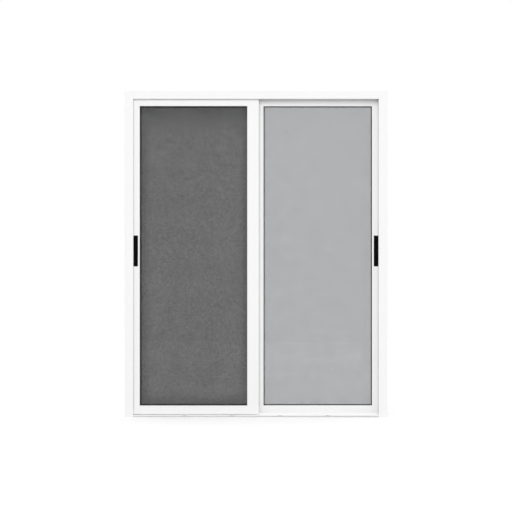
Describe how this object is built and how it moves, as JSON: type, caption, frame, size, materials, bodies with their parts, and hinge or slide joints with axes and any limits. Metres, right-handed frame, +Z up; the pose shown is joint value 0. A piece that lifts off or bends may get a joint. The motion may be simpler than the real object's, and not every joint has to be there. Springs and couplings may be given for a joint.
{
  "type": "sliding patio door",
  "caption": "White aluminium sliding patio door in its frame, with sliding glass leaves, a sliding insect screen and black flush pulls.",
  "frame": {"origin": "middle of the underside of the frame's sill", "axes": "+Z up, +Y through the door from the screen's side to the room's side, +X to the right seen from the screen's side"},
  "size_m": [1.65, 0.154, 2.05],
  "materials": {
    "white_coat": "white powder coat on extruded aluminium, satin",
    "tinted_glass": "clear double glazing with a light grey tint",
    "insect_mesh": "charcoal woven glass-fibre insect mesh",
    "black_pull": "black moulded plastic, fine texture",
    "black_rubber": "black glazing rubber",
    "buffer_rubber": "dark grey buffer rubber",
    "galvanised_steel": "galvanised pressed steel",
    "nylon": "natural nylon",
    "spacer_alloy": "mill aluminium spacer bar"
  },
  "bodies": {
    "frame": {"left_jamb": "white_coat", "right_jamb": "white_coat", "head": "white_coat", "sill": "white_coat", "left_jamb_buffers": "buffer_rubber", "right_jamb_buffers": "buffer_rubber", "head_stops": "buffer_rubber"},
    "screen_leaf": {"screen_outer_stile": "white_coat", "screen_meeting_stile": "white_coat", "screen_bottom_rail": "white_coat", "screen_top_rail": "white_coat", "screen_mesh": "insect_mesh", "screen_spline": "black_rubber", "screen_outer_pull": "black_pull", "screen_inner_pull": "black_pull", "screen_rollers": "nylon", "screen_roller_housings": "galvanised_steel", "screen_top_guides": "nylon"},
    "right_glass_leaf": {"right_leaf_outer_stile": "white_coat", "right_leaf_meeting_stile": "white_coat", "right_leaf_interlock": "white_coat", "right_leaf_bottom_rail": "white_coat", "right_leaf_top_rail": "white_coat", "right_leaf_glass": "tinted_glass", "right_leaf_spacer": "spacer_alloy", "right_leaf_gasket": "black_rubber", "right_leaf_outer_pull": "black_pull", "right_leaf_inner_pull": "black_pull", "right_leaf_rollers": "nylon", "right_leaf_roller_housings": "galvanised_steel", "right_leaf_top_guides": "nylon"},
    "left_glass_leaf": {"left_leaf_outer_stile": "white_coat", "left_leaf_meeting_stile": "white_coat", "left_leaf_interlock": "white_coat", "left_leaf_bottom_rail": "white_coat", "left_leaf_top_rail": "white_coat", "left_leaf_glass": "tinted_glass", "left_leaf_spacer": "spacer_alloy", "left_leaf_gasket": "black_rubber", "left_leaf_outer_pull": "black_pull", "left_leaf_inner_pull": "black_pull", "left_leaf_rollers": "nylon", "left_leaf_roller_housings": "galvanised_steel", "left_leaf_top_guides": "nylon"}
  },
  "joints": [
    {"name": "screen_slide", "type": "slide", "parent": "frame", "child": "screen_leaf", "axis": [1, 0, 0], "range_m": [0, 0.786]},
    {"name": "right_glass_slide", "type": "slide", "parent": "frame", "child": "right_glass_leaf", "axis": [-1, 0, 0], "range_m": [0, 0.715]},
    {"name": "left_glass_slide", "type": "slide", "parent": "frame", "child": "left_glass_leaf", "axis": [1, 0, 0], "range_m": [0, 0.715]}
  ]
}
